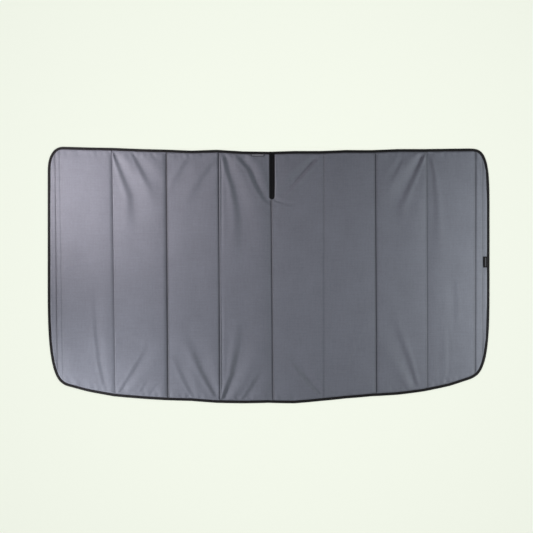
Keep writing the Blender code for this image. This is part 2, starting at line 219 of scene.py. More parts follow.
# %% Wrinkles: path in halves of the width and height, depth and first and last half width in mm
WRINKLES = (
    ([(-0.701, 0.957), (-0.649, 0.770), (-0.609, 0.623), (-0.584, 0.304)], 4.6, 5, 30),
    ([(-0.613, 0.949), (-0.581, 0.863), (-0.536, 0.739), (-0.491, 0.592)], 3.4, 6, 22),
    ([(-0.527, 0.941), (-0.509, 0.902), (-0.491, 0.871)], 1.2, 4, 7),
    ([(-0.251, 0.848), (-0.292, 0.739), (-0.319, 0.646), (-0.355, 0.491)], 1.9, 9, 24),
    ([(-0.292, 0.910), (-0.364, 0.871), (-0.409, 0.724), (-0.437, 0.584)], 2.0, 9, 20),
    ([(-0.200, 0.941), (-0.179, 0.820), (-0.151, 0.690)]
     + [(-0.129, 0.540), (-0.118, 0.413), (-0.114, 0.130)], 5.6, 8, 27),
    ([(-0.133, 0.926), (-0.085, 0.832), (-0.050, 0.693)]
     + [(-0.017, 0.600), (0.003, 0.575), (0.060, 0.562)], 5.2, 9, 9),
    ([(-0.206, -0.969), (-0.156, -0.780), (-0.120, -0.547), (-0.097, -0.333)], 5.6, 6, 26),
    ([(-0.111, -0.969), (-0.057, -0.842), (-0.007, -0.729)], 3.2, 7, 15),
    ([(-0.233, -0.954), (-0.292, -0.733), (-0.337, -0.516), (-0.360, -0.410)], 4.0, 6, 26),
    ([(-0.346, -0.915), (-0.382, -0.780), (-0.419, -0.594)], 2.0, 7, 15),
    ([(-0.676, -0.923), (-0.618, -0.780), (-0.563, -0.640), (-0.523, -0.519)], 2.3, 5, 15),
    ([(-0.586, -0.931), (-0.563, -0.869), (-0.541, -0.814)], 1.3, 4, 6),
    ([(-0.532, -0.923), (-0.514, -0.876), (-0.491, -0.830)], 1.1, 4, 6),
    ([(-0.740, -0.861), (-0.762, -0.671), (-0.779, -0.392), (-0.782, -0.061)], 1.5, 6, 12),
    ([(-0.925, 0.067), (-0.862, 0.082), (-0.803, 0.075)], -1.9, 5, 6),
    ([(0.215, 0.909), (0.156, 0.800), (0.101, 0.692), (0.045, 0.600)], 5.8, 7, 12),
    ([(0.120, 0.786), (0.088, 0.700), (0.057, 0.623)], 0.8, 6, 8),
    ([(0.699, 0.941), (0.631, 0.724), (0.577, 0.553), (0.557, 0.366)], 4.6, 6, 25),
    ([(0.600, 0.894), (0.568, 0.794), (0.536, 0.693)], 1.8, 5, 10),
    ([(0.726, 0.926), (0.740, 0.760), (0.744, 0.545), (0.737, 0.273), (0.731, 0.056)], 2.6, 5, 27),
    ([(0.665, -0.861), (0.613, -0.625), (0.559, -0.423), (0.527, -0.271)], 3.8, 7, 23),
    ([(0.238, -0.931), (0.179, -0.811), (0.133, -0.702), (0.093, -0.597)], 5.0, 6, 15),
    ([(0.355, -0.705), (0.405, -0.469), (0.473, -0.286)], -1.0, 8, 12),
    ([(0.835, -0.053), (0.837, -0.271), (0.835, -0.480)], 1.0, 10, 12),
    ([(0.799, -0.799), (0.801, -0.581), (0.794, -0.348)], -0.8, 7, 9),
    ([(0.023, 0.585), (0.052, 0.568), (0.088, 0.553), (0.120, 0.553)], 3.0, 3, 5),
    ([(-0.215, 0.920), (-0.214, 0.500), (-0.213, 0.000)], 1.5, 2.5, 2.5),
    ([(-0.211, -0.920), (-0.212, -0.500), (-0.213, 0.000)], 1.3, 2.5, 2.5),
)
print(f"{len(WRINKLES)} wrinkles")

# %% Depth of the wrinkles
WIDER = 1.35
LEAN = 0.40
RIDGE = 0.55
RIDGE_PLACE = 1.9
START_FADE = 0.08
END_FADE = 0.5
# Left of this slanting line the left lamps light the cloth most, and right of it the right lamp
LAMPS_MEET = 0.18
LAMPS_SLANT = 0.1


def beside(line, x, y):
    """Distance from a path, how far along it that is, and how far to its right."""
    run = run_along(line)
    best, along, side = np.full_like(x, 1e9), np.zeros_like(x), np.zeros_like(x)
    for i in range(len(line) - 1):
        step = line[i + 1] - line[i]
        long = np.hypot(*step)
        t = np.clip(((x - line[i, 0]) * step[0] + (y - line[i, 1]) * step[1]) / long**2, 0, 1)
        dx, dy = x - line[i, 0] - t * step[0], y - line[i, 1] - t * step[1]
        away = np.hypot(dx, dy)
        nearer = away < best
        best = np.where(nearer, away, best)
        along = np.where(nearer, (run[i] + t * long) / run[-1], along)
        side = np.where(nearer, dx, side)
    return best, along, side


def wrinkle_field(x, y):
    """Depth of the wrinkles, each steeper on the flank that looks away from its strongest lamp."""
    depth = np.zeros_like(x)
    for path, deep, first, last in WRINKLES:
        line = np.array(path) * (WIDTH / 2, HEIGHT / 2)
        away, along, side = beside(line, x, y)
        half = WIDER * (first + (last - first) * along) / 1000
        lamp_side = 1 if line[0, 0] < LAMPS_MEET - LAMPS_SLANT * line[0, 1] else -1
        half = half * (1 + LEAN * np.tanh(2 * lamp_side * side / half))
        fade = np.clip(along / START_FADE + 0.4, 0, 1) * np.clip((1.02 - along) / END_FADE, 0, 1)
        valley = np.exp(-((away / half) ** 2))
        ridge = RIDGE * np.exp(-(((away - RIDGE_PLACE * half) / half) ** 2))
        depth += deep / 1000 * fade * (valley - ridge)
    return depth


# %% [markdown]
# ## The ripples
# Cloth that is held only at its seams is never quite level, and along a binding it puckers. A noise
# texture could move the points, but sums of a few long waves are as uneven and stay soft, and a
# seeded generator draws the same ones each time.

# %% Ripples
random = np.random.default_rng(7)


def waves(shortest, longest, count):
    """Soft waves of mixed lengths, directions and phases."""
    length = random.uniform(shortest, longest, count)
    heading, phase = random.uniform(0, 2 * math.pi, (2, count))
    return np.stack([np.cos(heading) / length, np.sin(heading) / length, phase], 1)


def ripple(kind, x, y):
    """The sum of some waves there, about -1 to 1."""
    total = np.zeros_like(x)
    for along_x, along_y, phase in kind:
        total += np.cos(2 * math.pi * (x * along_x + y * along_y) + phase)
    return total / math.sqrt(len(kind))


BROAD = waves(0.05, 0.16, 14)
SMALL = waves(0.018, 0.04, 14)
EDGE_PUCKER = waves(0.016, 0.045, 9)
print("waves:", len(BROAD), "broad,", len(SMALL), "small,", len(EDGE_PUCKER), "at the edge")

# %% [markdown]
# ## The height of the face cloth
# At the binding and along a deep seam the cloth lies down on the lining. Between seams the foam
# lifts it 5 mm, with a steep rounded flank, and each panel crowns a little further. It could be
# sculpted by hand or inflated. One formula that gives a height for each place keeps the cloth one
# continuous surface, and the foam, the stitches and the tab can ask it where the cloth is.

# %% Distance from any place to the bound edge, the slit's among it
bound_edge = evenly(np.concatenate([edge, slit_line(0), edge[:1]]), 0.001)
edge_tree = KDTree(len(bound_edge))
for i, (x, y) in enumerate(bound_edge):
    edge_tree.insert((x, y, 0), i)
edge_tree.balance()
print(f"bound edge: {len(bound_edge)} points")


def distance_in(x, y):
    """Distance in from the bound edge."""
    found = [edge_tree.find((px, py, 0))[2] for px, py in zip(x.ravel(), y.ravel())]
    return np.array(found).reshape(x.shape)


# %% Shapes of a flank
def share(value, start, end):
    """How far value has come from start to end, 0 to 1."""
    return np.clip((value - start) / (end - start), 0, 1)


def rounded(part):
    """A quarter circle's rise, steep at 0 and level at 1."""
    return np.sqrt(np.clip(1 - (1 - part) ** 2, 0, 1))


def eased(part):
    """A quarter wave's rise, softer at 0 than a quarter circle's."""
    return np.sin(part * math.pi / 2)


# %% The strips outside the outer seams, which hold no foam
STRIP_STEP = (-0.004, 0.002)
STRIP_DROP = 0.62
TAG_DROP = 0.33
TAG_Y = 0.0500
TAG_HALF = 0.0210
TAG_EASE = 0.025


def strip_limit(x, y):
    """How far the cloth may rise, 0 to 1: little in the strips, and least beside the tag."""
    beyond = np.maximum(x - seam_x(FOLDS[-1], y), seam_x(FOLDS[0], y) - x)
    near_tag = (x > 0) * (1 - share(np.abs(y - TAG_Y), TAG_HALF, TAG_HALF + TAG_EASE))
    return 1 - share(beyond, *STRIP_STEP) * (STRIP_DROP + TAG_DROP * near_tag)


# %% Height of the face cloth
SEWN_TOP = 0.0013
TAPE_STEP = 0.0011
PADDED = 0.0048
CROWN = 0.0022
LOWEST_OVER_FOAM = 0.0013
# Where things start and end, as distances in from the bound edge
TAPE_LEG = (0.0125, 0.0195)
EDGE_FLANK = (0.0112, 0.0200)
EDGE_CROWN = (0.0180, 0.0700)
WRINKLES_BEGIN = (0.0125, 0.0300)
PUCKERS_BEGIN = (0.0112, 0.0150)
PUCKERS_END = (0.0150, 0.0400)
# The same from a seam, and from the middle of the cover upward or downward
SEAM_BOTTOM = 0.0002
SEAM_CROWN = (0.0040, 0.0700)
LONG_EDGES = (0.28, 0.40)
BROAD_HEIGHT, SMALL_HEIGHT, PUCKER_HEIGHT = 0.00020, 0.00008, 0.00120
PUCKER_SLANT = 0.2


def quilted(x, y, edge_in):
    """Shares of the foam's lift and of the crown that the binding and the seams leave."""
    lift = np.minimum(rounded(share(edge_in, *EDGE_FLANK)), strip_limit(x, y))
    fill = share(edge_in, *EDGE_CROWN)
    for seam in FOLDS + QUILTING:
        off = x - seam_x(seam, y)
        away = np.abs(off)
        depth = seam_depth(seam, y)
        flank = np.where(off < 0, *seam[3]) / 1000
        lift = np.minimum(lift, 1 - depth * (1 - eased(share(away, SEAM_BOTTOM, flank))))
        fill = np.minimum(fill, 1 - depth * (1 - share(away, *SEAM_CROWN)))
    return lift, fill


def face_height(x, y, edge_in):
    """Top of the face cloth over the floor."""
    lift, fill = quilted(x, y, edge_in)
    crown = CROWN * fill * (2 - fill)
    wrinkles = wrinkle_field(x, y) * rounded(share(edge_in, *WRINKLES_BEGIN))
    wrinkles = np.minimum(wrinkles, crown + PADDED - LOWEST_OVER_FOAM)
    puckered = share(edge_in, *PUCKERS_BEGIN) * (1 - share(edge_in, *PUCKERS_END))
    puckered = puckered * share(np.abs(y), *LONG_EDGES)
    small = BROAD_HEIGHT * ripple(BROAD, x, y) + SMALL_HEIGHT * ripple(SMALL, x, y)
    small += PUCKER_HEIGHT * puckered * ripple(EDGE_PUCKER, x + PUCKER_SLANT * y, 0 * y)
    base = SEWN_TOP + TAPE_STEP * (1 - share(edge_in, *TAPE_LEG))
    return base + PADDED * lift + crown - wrinkles + small * lift


# %% [markdown]
# ## The face cloth
# A plain grid would step over the seams, so the cloth's columns follow them: under a millimetre
# apart at a seam and over five in the middle of a panel. Each column runs from the cloth's bottom
# edge to its top edge, which makes the curved outline exact. The rows are closer where the binding,
# the wrinkles and the slit's end need them.

# %% Columns that follow the seams
NEAR_SEAM = np.array([0, 0.6, 1.3, 2.1, 3.1, 4.3, 5.7, 7.4, 9.5, 12.2]) / 1000
SLIT_FLANK = (0.0300, 0.0282)
CUT = 0.0022


def columns(step):
    """Each column's place across the cover at the foot and at the head."""
    side = WIDTH / 2 - CUT
    lines = sorted(FOLDS + QUILTING + (SLIT_FLANK,), key=lambda line: line[0])
    lines = [(-side, -side), *lines, (side, side)]
    feet, heads = [], []
    for left, right in zip(lines, lines[1:]):
        room = right[0] - left[0]
        fine = NEAR_SEAM[NEAR_SEAM < room * 0.46]
        inner = np.arange(fine[-1] + step, room - fine[-1] - step / 2, step)
        part = np.concatenate([fine, inner, (room - fine)[::-1]])[:-1] / room
        feet.append(left[0] + part * room)
        heads.append(left[1] + part * (right[1] - left[1]))
    return np.append(np.concatenate(feet), side), np.append(np.concatenate(heads), side)


# %% Rows that follow the outline
NEAR_EDGE = [0, 4, 8, 10, 11.2, 12, 13, 14, 15.2, 16.5, 18, 20, 22.5, 25.5, 29, 33, 38, 44]
NEAR_EDGE = np.array(NEAR_EDGE) / 1000
WRINKLED = (0.10, 0.15)
CREASE_Y = 0.038
# How many more rows, and over what reach, at the crease and at the slit's end
CREASE_ROWS, CREASE_REACH = 1.5, 0.025
SLIT_ROWS, SLIT_REACH = 2, 0.020


def row_parts(row_step, closer, slit_end):
    """Shares of the way up for the rows, closer where the wrinkles and the slit's end are."""
    part = np.linspace(0, 1, 4001)
    up = (part - 0.5) * (HEIGHT - 2 * NEAR_EDGE[-1])
    close_by = SLIT_ROWS * np.exp(-(((part - slit_end) / SLIT_REACH) ** 2))
    close_by = close_by + CREASE_ROWS * np.exp(-(((up - CREASE_Y) / CREASE_REACH) ** 2))
    density = 1 + closer * (share(np.abs(up), *WRINKLED) + close_by)
    run = np.cumsum(density) * (up[1] - up[0]) / row_step
    return np.interp(np.linspace(run[0], run[-1], round(run[-1]))[1:-1], run, part)


# %% The grid inside the cut edge of a cloth
def side_normals(path):
    """Unit vectors that point into the cloth along a path."""
    step = np.gradient(path, axis=0)
    return np.stack([step[:, 1], -step[:, 0]], 1) / np.hypot(*step.T)[:, None]


def cloth_ends(feet, heads):
    """Heights where the columns meet the cloth's cut edge at the foot and at the top."""
    cut = edge + side_normals(edge) * CUT
    inner = np.abs(cut[:, 0]) < np.abs(cut[:, 0]).max() - 0.00002
    top = cut[inner & (cut[:, 1] > 0)]
    foot = cut[inner & (cut[:, 1] < 0)]
    top, foot = top[np.argsort(top[:, 0])], foot[np.argsort(foot[:, 0])]
    top_x, foot_x = heads, feet
    for _ in range(3):
        top_y = np.interp(top_x, *top.T)
        foot_y = np.interp(foot_x, *foot.T)
        top_x = feet + (heads - feet) * (top_y / HEIGHT + 0.5)
        foot_x = feet + (heads - feet) * (foot_y / HEIGHT + 0.5)
    return foot_y, top_y


def cloth_grid(step, row_step, closer=0.0):
    """Places of a cloth's points as rows and columns."""
    feet, heads = columns(step)
    foot_y, top_y = cloth_ends(feet, heads)
    band = NEAR_EDGE[-1]
    low, high = (np.interp(SLIT_X, heads, ends) for ends in (foot_y, top_y))
    slit_end = (mouth_y - SLIT_DEPTH - low - band) / (high - low - 2 * band)
    parts = row_parts(row_step, closer, slit_end)
    rows = [foot_y + near for near in NEAR_EDGE]
    rows += [foot_y + band + (top_y - foot_y - 2 * band) * part for part in parts]
    rows += [top_y - near for near in NEAR_EDGE[::-1]]
    y = np.array(rows)
    return feet + (heads - feet) * (y / HEIGHT + 0.5), y


# %% Turn points into pieces, with each place on the flat cloth kept for the weave
cover = bpy.data.collections.new("cover")
bpy.context.scene.collection.children.link(cover)


def piece_of(name, points, faces):
    """A smooth object of the cover from points and faces."""
    mesh = bpy.data.meshes.new(name)
    mesh.from_pydata(points, [], faces)
    mesh.shade_smooth()
    piece = bpy.data.objects.new(name, mesh)
    cover.objects.link(piece)
    print(f"{name}: {len(mesh.polygons)} faces")
    return piece


def in_slit(x, y):
    """Whether a place is between the slit's two cut cloth edges."""
    return (np.abs(x - SLIT_X) < SLIT_GAP / 2 + CUT) & (y > mouth_y - SLIT_DEPTH - CUT)


def surface(name, x, y, z, u, v, upward=True, slit=False):
    """A cloth piece over a grid of points, with u and v its place on the flat cloth."""
    rows, cols = x.shape
    spot = np.arange(rows * cols).reshape(rows, cols)
    corners = [spot[:-1, :-1], spot[:-1, 1:], spot[1:, 1:], spot[1:, :-1]]
    quads = np.stack(corners, -1).reshape(-1, 4)
    if slit:
        quads = quads[~in_slit(x.ravel()[quads].mean(1), y.ravel()[quads].mean(1))]
    if not upward:
        quads = quads[:, ::-1]
    used, packed = np.unique(quads, return_inverse=True)
    packed = packed.reshape(quads.shape)
    points = np.stack([x, y, z], -1).reshape(-1, 3)[used]
    piece = piece_of(name, points.tolist(), packed.tolist())
    flat = [np.broadcast_to(u, x.shape), np.broadcast_to(v, x.shape)]
    flat = np.stack(flat, -1).reshape(-1, 2)[used]
    layer = piece.data.uv_layers.new(name="cloth")
    layer.uv.foreach_set("vector", flat[packed.ravel()].ravel().astype(np.float32))
    return piece


# %% Face cloth, with the painted shade of its seams kept for its material
face_x, face_y = cloth_grid(0.0056, 0.0125, 1.6)
face_z = face_height(face_x, face_y, distance_in(face_x, face_y))
face = surface("face_cloth_sheet", face_x, face_y, face_z, face_x, face_y, slit=True)
face_points = np.array([v.co for v in face.data.vertices])
painted_shade = face.data.attributes.new("painted_seam_shade", "FLOAT", "POINT")
painted_shade.data.foreach_set("value", painted_seam_shade(*face_points[:, :2].T).astype(np.float32))
print(f"face cloth from {face_z.min() * 1000:.1f} to {face_z.max() * 1000:.1f} mm over the floor")

# %% [markdown]
# ## The lining
# The back cloth lies on the floor, so it is nearly flat. It climbs onto the binding's lower leg at
# the edge, and each sewn fold pulls it up by the thickness of a few threads. A flat sheet would do
# from above, but it would cut through the tape.

# %% Lining cloth
LINING_FLOOR = 0.0001
LINING_CLIMB = (0.0125, 0.0160)
THREAD_PULL = 0.0003
THREAD_REACH = (0.0004, 0.0040)


def lining_height(x, y, edge_in):
    """The lining over the floor."""
    lift = LINING_FLOOR + TAPE_STEP * (1 - share(edge_in, *LINING_CLIMB))
    for seam in FOLDS:
        near = 1 - share(np.abs(x - seam_x(seam, y)), *THREAD_REACH)
        lift = np.maximum(lift, THREAD_PULL * seam_depth(seam, y) * near)
    return lift


lining_x, lining_y = cloth_grid(0.0250, 0.0400)
lining_z = lining_height(lining_x, lining_y, distance_in(lining_x, lining_y))
lining = surface(
    "lining_sheet", lining_x, lining_y, lining_z, lining_x, lining_y, upward=False, slit=True
)

# %% [markdown]
# ## The foam
# Foam boards fill the panels. The solids have square edges and their full thickness. Foam under a
# sewn cloth is pressed thinner and round at its edges, and down along the stitching. A new board
# could be modelled, but the solid with all three done to it keeps the true outline.

# %% Foam boards, pressed under the cloth
PRESSED = 0.62
BOARD_ROUND = 0.0011
SHARP = 1.2
BOARD_STEPS = (0.004, 0.008)
CLOTH_OVER_FOAM = 0.0004
CLOTH_NEAR = ((0, 0), (-0.0022, 0), (0.0022, 0), (0, -0.0040), (0, 0.0040))


def cut_across(shape, axis, spacing):
    """Cut a mesh by planes that far apart, so that its faces can bend."""
    reach = [v.co[axis] for v in shape.verts]
    for at in np.arange(min(reach) + spacing, max(reach), spacing):
        place, normal = [0, 0, 0], [0, 0, 0]
        place[axis], normal[axis] = at, 1
        parts = shape.verts[:] + shape.edges[:] + shape.faces[:]
        bmesh.ops.bisect_plane(shape, geom=parts, plane_co=place, plane_no=normal)


def soft_board(node):
    """The board of one panel, pressed and with its edges rounded."""
    shape = bmesh.new()
    shape.from_mesh(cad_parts[node].data)
    bmesh.ops.remove_doubles(shape, verts=shape.verts, dist=0.00001)
    bmesh.ops.dissolve_limit(shape, angle_limit=0.01, verts=shape.verts, edges=shape.edges)
    low = min(v.co.z for v in shape.verts)
    for vertex in shape.verts:
        vertex.co.z = low + (vertex.co.z - low) * PRESSED
    rims = [e for e in shape.edges if e.is_manifold and e.calc_face_angle() > SHARP]
    bmesh.ops.bevel(
        shape, geom=rims, offset=BOARD_ROUND, segments=2, profile=0.5, affect="EDGES"
    )
    for axis, spacing in enumerate(BOARD_STEPS):
        cut_across(shape, axis, spacing)
    x, y, z = np.array([v.co for v in shape.verts]).T
    edge_in = distance_in(x, y)
    cloth_tops = [face_height(x + right, y + up, edge_in) for right, up in CLOTH_NEAR]
    pressed = np.minimum(z, np.min(cloth_tops, axis=0) - CLOTH_OVER_FOAM)
    for vertex, height in zip(shape.verts, pressed):
        vertex.co.z = max(low, height)
    mesh = bpy.data.meshes.new(f"foam_{node[-1]}")
    shape.to_mesh(mesh)
    shape.free()
    board = bpy.data.objects.new(f"foam_board_{node[-1]}", mesh)
    cover.objects.link(board)
    return board


core_nodes = [node for node in sorted(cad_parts) if node.startswith("core_panel")]
boards = {node: soft_board(node) for node in core_nodes}
print("foam boards:", len(boards))

# %% [markdown]
# ## The binding
# The real binding is a ribbed woven tape, folded over the raw edges of the quilt and sewn down. It
# could be a curve with a bevel, which has no folded section. Here the folded section is swept along
# the outline: flat legs that press into the cloth at their inner edge, and a soft round fold.

# %% Section of the folded tape: shares of its width in, and heights in millimetres
TAPE_WIDTH = 0.0104
TAPE_HEIGHT = 0.0035
TAPE_THICK = 0.0007
UPPER_LEG = ((1.00, 2.86), (0.985, 3.12), (0.95, 3.26), (0.88, 3.28), (0.81, 3.22), (0.74, 3.30))
UPPER_LEG += ((0.60, 3.44), (0.44, 3.50), (0.28, 3.50))
LOWER_LEG = ((0.6, 0.0), (0.99, 0.0), (1.0, 0.2))


def tape_section():
    """Distance in and height, from the upper leg's inner edge round the fold to the lower leg's."""
    radius = TAPE_HEIGHT / 2
    upper, lower = (
        [(inward * TAPE_WIDTH, height / 1000) for inward, height in leg]
        for leg in (UPPER_LEG, LOWER_LEG)
    )
    turns = np.linspace(0.56, 1.5, 8) * math.pi
    bend = [(radius * (1 + math.cos(turn)), radius * (1 + math.sin(turn))) for turn in turns]
    return np.array(upper + bend + lower)


# %% Sweep a tape along an edge
UNEVEN = 0.022
PUFF = 0.00006
UPPER_SIDE = (0.0014, 0.0030)


def folded_tape(name, path, lift, snug=0.0):
    """Tape folded over the edge that the path follows, a little uneven as sewn tape is."""
    inward, height = tape_section().T
    run = run_along(path)
    uneven = 1 + UNEVEN * ripple(waves(0.05, 0.30, 10), run, 0 * run)
    puff = PUFF * ripple(waves(0.012, 0.05, 10), run, 0 * run)
    reach = inward[:, None] * uneven[None] - snug
    place = path[None] + side_normals(path)[None] * reach[..., None]
    z = height[:, None] + share(height, *UPPER_SIDE)[:, None] * (puff[None] + lift[None])
    across = run_along(tape_section())
    piece = surface(name, place[..., 0], place[..., 1], z, run[None], across[:, None])
    solid = piece.modifiers.new("tape", "SOLIDIFY")
    solid.thickness = TAPE_THICK
    solid.offset = -1
    return piece


# %% The two tapes, the slit's over the ends of the outer one
SLIT_START = 0.0012
OVER_EDGE = 0.0008
OVER_EDGE_END = (0.0100, 0.0150)
slit_path = slit_line(SLIT_START)
over_edge = OVER_EDGE * (1 - share(mouth_y - slit_path[:, 1], *OVER_EDGE_END))
binding = folded_tape("edge_binding_tape", edge, np.zeros(len(edge)))
slit_tape = folded_tape("slit_binding_tape", slit_path, over_edge, snug=0.0001)

# %% [markdown]
# ## The tag and the tab
# Both are small flat pieces of woven cloth. The tag is caught under the binding at the right edge
# and its free side lifts a little. The tab is sewn flat on the face just below the top binding, so
# it follows the cloth's slope there. A flat box would do for either, but it would stand off the
# cloth, so each is a thin sheet over the footprint of its solid.

# %% Side tag and top tab
PATCH_THICK = 0.0005
UNDER_TAPE = 0.0014
TAG_SPAN = (0.8263, 0.8393)
TAG_TOP, TAG_LIFT, TAG_WAVE = 0.0033, 0.0009, 0.0002
TAB_OVER, TAB_CLIMB, TAB_CLIMB_END = 0.0003, 0.0011, (0.0104, 0.0125)


def patch(name, node, rise, across, down, tuck=0.0):
    """A thin sheet over a solid's footprint at the heights of rise, tucked under the top tape."""
    low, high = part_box(node)
    places = np.linspace(low[0], high[0], across), np.linspace(low[1], high[1] + tuck, down)
    x, y = np.meshgrid(*places)
    piece = surface(name, x, y, rise(x, y), x - low[0], y - low[1])
    solid = piece.modifiers.new("cloth", "SOLIDIFY")
    solid.thickness = PATCH_THICK
    solid.offset = -1
    return piece


def tag_rise(x, y):
    """Height of the tag: held down at the binding, its free side lifted."""
    free = 1 - share(x, *TAG_SPAN)
    return TAG_TOP + TAG_LIFT * free**2 + TAG_WAVE * np.sin(60 * (y - TAG_Y)) * free


def tab_rise(x, y):
    """Height of the tab: on the face cloth, with its rounded flank."""
    edge_in = distance_in(x, y)
    return face_height(x, y, edge_in) + TAB_OVER + TAB_CLIMB * share(edge_in, *TAB_CLIMB_END)


tag = patch("side_tag_cloth", "side_tag", tag_rise, 16, 44)
tab = patch("top_tab_cloth", "top_tab", tab_rise, 50, 14, UNDER_TAPE)

# %% [markdown]
# ## Stitching
# Lockstitch shows as short rounded threads that dip into the cloth at both ends. From a step away a
# painted line would do, but the seams are looked at closely too, so each stitch is a small mesh.

# %% A mesh of stitches: rings along each, as share of its length, size and rise in radii
STITCH = ((-0.50, 0.45, -0.50), (-0.32, 1.0, 0.35), (0.32, 1.0, 0.35), (0.50, 0.45, -0.50))
SIDES = 6
THREAD = 0.0002


def stitch_faces(first):
    """The faces of one stitch whose points start at first."""
    faces = []
    for row in range(0, SIDES * (len(STITCH) - 1), SIDES):
        for i in range(SIDES):
            a, b = first + row + i, first + row + (i + 1) % SIDES
            faces.append((a, b, b + SIDES, a + SIDES))
    last = first + SIDES * (len(STITCH) - 1)
    faces.append(tuple(first + SIDES - 1 - i for i in range(SIDES)))
    faces.append(tuple(last + i for i in range(SIDES)))
    return faces


def stitches(name, rows, pitch, long):
    """One mesh of all the stitches on some rows of (x, y, z) points."""
    ring = np.linspace(0, 2 * math.pi, SIDES + 1)[:-1]
    points, faces = [], []
    for path in rows:
        run = run_along(path)
        at = np.arange(pitch / 2, run[-1] - pitch / 2, pitch)
        middle = np.stack([np.interp(at, run, path[:, i]) for i in range(3)], 1)
        further = np.stack([np.interp(at + pitch / 4, run, path[:, i]) for i in range(3)], 1)
        ahead = further - middle
        ahead /= np.linalg.norm(ahead, axis=1)[:, None]
        side = np.stack([-ahead[:, 1], ahead[:, 0], 0 * at], 1)
        side /= np.linalg.norm(side, axis=1)[:, None]
        up = np.cross(ahead, side)
        for centre, forward, left, high in zip(middle, ahead, side, up):
            faces += stitch_faces(len(points))
            for part, size, rise in STITCH:
                hub = centre + forward * part * long + high * rise * THREAD
                spokes = [math.cos(a) * left + math.sin(a) * high for a in ring]
                points += [hub + size * THREAD * spoke for spoke in spokes]
    return piece_of(name, [tuple(point) for point in points], faces)


# %% Stitches along the tapes
TAPE_ROW_IN = 0.0084
TAPE_ROW_HEIGHT = 0.00328
TAPE_PITCH, TAPE_STITCH = 0.0034, 0.0028


def row_along(path):
    """The row of stitching on a tape that follows a path."""
    place = path + side_normals(path) * TAPE_ROW_IN
    return np.column_stack([place, np.full(len(place), TAPE_ROW_HEIGHT)])


edge_row = row_along(edge[2:-2])
edge_stitches = stitches("edge_stitching", [edge_row], TAPE_PITCH, TAPE_STITCH)
slit_row = row_along(slit_line(0.0165))
slit_stitches = stitches("slit_stitching", [slit_row], TAPE_PITCH, TAPE_STITCH)

# %% Stitches at the bottom of each seam
SEAM_PITCH, SEAM_STITCH = 0.0040, 0.0033
SEAM_ROW_IN = 0.0115
SLIT_TAPE_REACH = (0.012, 0.0115)


def seam_row(seam):
    """The bottom of a seam on the face cloth, from the lower binding to the upper one."""
    y = np.linspace(edge[:, 1].min(), edge[:, 1].max(), 980)
    x = seam_x(seam, y)
    upper, lower = edge[edge[:, 1] > 0], edge[edge[:, 1] < 0]
    top = np.interp(x, *upper[np.argsort(upper[:, 0])].T)
    foot = np.interp(x, *lower[np.argsort(lower[:, 0])].T)
    edge_in = distance_in(x, y)
    beside_slit = (np.abs(x - SLIT_X) < SLIT_TAPE_REACH[0]) & (
        y > mouth_y - SLIT_DEPTH - SLIT_TAPE_REACH[1]
    )
    keep = (edge_in > SEAM_ROW_IN) & (y > foot) & (y < top) & ~beside_slit
    x, y, edge_in = x[keep], y[keep], edge_in[keep]
    return np.column_stack([x, y, face_height(x, y, edge_in) + THREAD / 2])


seam_rows = [seam_row(seam) for seam in FOLDS + QUILTING]
seam_stitches = stitches("fold_stitching", seam_rows, SEAM_PITCH, SEAM_STITCH)

# %% [markdown]
# ## The weave and the cloudiness
# All the cloths are woven, and none is quite even in tone. An image could give both, but it would
# repeat and blur close up. Here a node group draws threads that go over and under by turns, with
# their number as an input, and another shades any colour with slow clouds and thicker threads.


# %% Helpers for node trees
def add(tree, kind, feeds, **settings):
    """A new node, with its inputs given as values or as the outputs that feed them."""
    made = tree.nodes.new(kind)
    for name, value in settings.items():
        setattr(made, name, value)
    for where, value in feeds.items():
        if isinstance(value, bpy.types.NodeSocket):
            tree.links.new(value, made.inputs[where])
        else:
            made.inputs[where].default_value = value
    return made


def maths(tree, operation, *values):
    """The output of one sum on numbers."""
    return add(tree, "ShaderNodeMath", dict(enumerate(values)), operation=operation).outputs[0]


def vectors(tree, operation, **values):
    """The output of one sum on vectors, whose inputs are named A, B and Scale."""
    places = {"A": 0, "B": 1, "Scale": "Scale"}
    feeds = {places[name]: value for name, value in values.items()}
    return add(tree, "ShaderNodeVectorMath", feeds, operation=operation).outputs[0]


def noise(tree, place, scale, detail):
    """The outputs of a noise texture."""
    feeds = {"Vector": place, "Scale": scale, "Detail": detail}
    return add(tree, "ShaderNodeTexNoise", feeds).outputs


def group(name, inputs, outputs):
    """An empty node group with named inputs and outputs, and the ends to wire them to."""
    made = bpy.data.node_groups.new(name, "ShaderNodeTree")
    for label, kind, value in inputs:
        socket = made.interface.new_socket(label, in_out="INPUT", socket_type=kind)
        if value is not None:
            socket.default_value = value
    for label, kind in outputs:
        made.interface.new_socket(label, in_out="OUTPUT", socket_type=kind)
    given = made.nodes.new("NodeGroupInput").outputs
    return made, given, made.nodes.new("NodeGroupOutput").inputs


# %% Weave: threads over and under by turns
weave, given, result = group(
    "weave",
    [("Place", "NodeSocketVector", None), ("Threads per metre", "NodeSocketFloat", 1800.0)],
    [("Height", "NodeSocketFloat")],
)
warped = noise(weave, given["Place"], 220.0, 1.0)["Color"]
drift = vectors(weave, "MULTIPLY", A=warped, B=(0.0004,) * 3)
moved = vectors(weave, "ADD", A=given["Place"], B=drift)
scaled = vectors(weave, "SCALE", A=moved, Scale=given["Threads per metre"])
axes = add(weave, "ShaderNodeSeparateXYZ", {0: scaled}).outputs
warp, weft = (
    maths(weave, "ABSOLUTE", maths(weave, "SINE", maths(weave, "MULTIPLY", axes[axis], math.pi)))
    for axis in ("X", "Y")
)
turns = add(weave, "ShaderNodeTexChecker", {"Vector": scaled, "Scale": 1.0}).outputs["Fac"]
over = add(weave, "ShaderNodeMix", {"Factor": turns, "A": warp, "B": weft}).outputs["Result"]
weave.links.new(over, result["Height"])
print("group:", weave.name, len(weave.nodes), "nodes")

